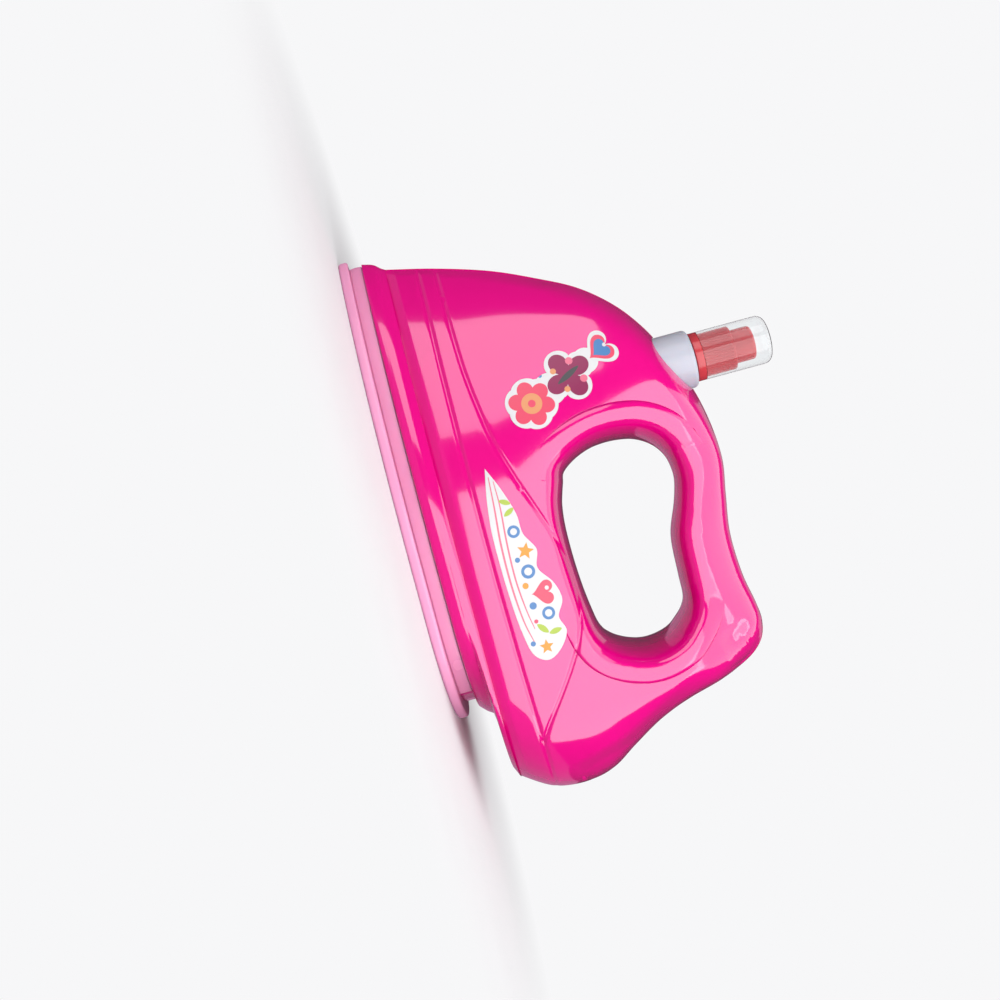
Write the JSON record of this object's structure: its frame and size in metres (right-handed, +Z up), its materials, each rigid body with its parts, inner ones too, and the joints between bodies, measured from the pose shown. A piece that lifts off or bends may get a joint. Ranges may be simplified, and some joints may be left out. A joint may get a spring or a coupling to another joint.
{
  "type": "toy iron",
  "caption": "Child's pretend steam iron with a moulded body and hand hole, light-up sole ring, battery door, slide switch and a lift-out spray bottle under a clear cap.",
  "frame": {"origin": "middle of the iron's length and width, on the surface that its sole rests on", "axes": "+X from the nose to the heel, +Y to the iron's far side, +Z up"},
  "size_m": [0.23, 0.098, 0.1624],
  "materials": {
    "hot_pink_plastic": "moulded, polished",
    "pale_pink_plastic": "moulded, polished",
    "light_ring_plastic": "translucent, moulded",
    "coral_plastic": "moulded",
    "bottle_plastic": "soft-touch blown bottle",
    "pump_plastic": "natural white moulding",
    "clear_plastic": "clear, moulded",
    "black_plastic": "moulded",
    "board_green": "lacquered board",
    "lamp_clear": "clear epoxy",
    "cell_jacket": "plain printed jacket",
    "screw_steel": "zinc plated"
  },
  "bodies": {
    "root": {"left_shell": "hot_pink_plastic", "right_shell": "hot_pink_plastic", "base_housing": "hot_pink_plastic", "light_ring": "light_ring_plastic", "sole_plate": "pale_pink_plastic", "battery_cells": "cell_jacket", "battery_springs": "screw_steel", "battery_contacts": "screw_steel", "circuit_board": "board_green", "board_parts": "black_plastic", "leds": "lamp_clear", "speaker": "black_plastic", "switch_body": "black_plastic", "bottle_well": "pale_pink_plastic", "shell_screws": "screw_steel", "base_screws": "screw_steel"},
    "door": {"battery_door": "pale_pink_plastic", "door_screw": "screw_steel"},
    "switch": {"switch_slider": "black_plastic"},
    "bottle": {"water_bottle": "bottle_plastic"},
    "pump": {"pump_gasket": "pump_plastic", "pump_barrel": "pump_plastic", "pump_ball": "screw_steel", "dip_tube": "pump_plastic", "pump_spring": "screw_steel"},
    "head": {"pump_piston": "pump_plastic", "spray_head": "coral_plastic", "nozzle_insert": "pump_plastic"},
    "collar": {"screw_collar": "coral_plastic"},
    "cap": {"overcap": "clear_plastic"}
  },
  "joints": [
    {"name": "door_tip", "type": "hinge", "parent": "root", "child": "door", "pos_m": [-0.0002, 0, 0.0009], "axis": [0, 1, 0], "range_deg": [0, 35]},
    {"name": "switch_slide", "type": "slide", "parent": "root", "child": "switch", "axis": [1, 0, 0], "range_m": [0, 0.004]},
    {"name": "bottle_lift", "type": "slide", "parent": "root", "child": "bottle", "axis": [0, 0, 1], "range_m": [0, 0.085]},
    {"name": "pump_lift", "type": "slide", "parent": "bottle", "child": "pump", "axis": [0, 0, 1], "range_m": [0, 0.0045]},
    {"name": "collar_turn", "type": "hinge", "parent": "pump", "child": "collar", "pos_m": [-0.04, 0, 0.134], "axis": [0, 0, 1], "range_deg": [0, 540]},
    {"name": "head_press", "type": "slide", "parent": "pump", "child": "head", "axis": [0, 0, -1], "range_m": [0, 0.0045], "stiffness_N_per_m": 800, "deforming": ["pump_spring"]},
    {"name": "cap_pull", "type": "slide", "parent": "collar", "child": "cap", "axis": [0, 0, 1], "range_m": [0, 0.04]}
  ],
  "couplings": [
    {"joint": "collar_turn", "follows": "pump_lift", "rad_per_m": 2094.4}
  ]
}
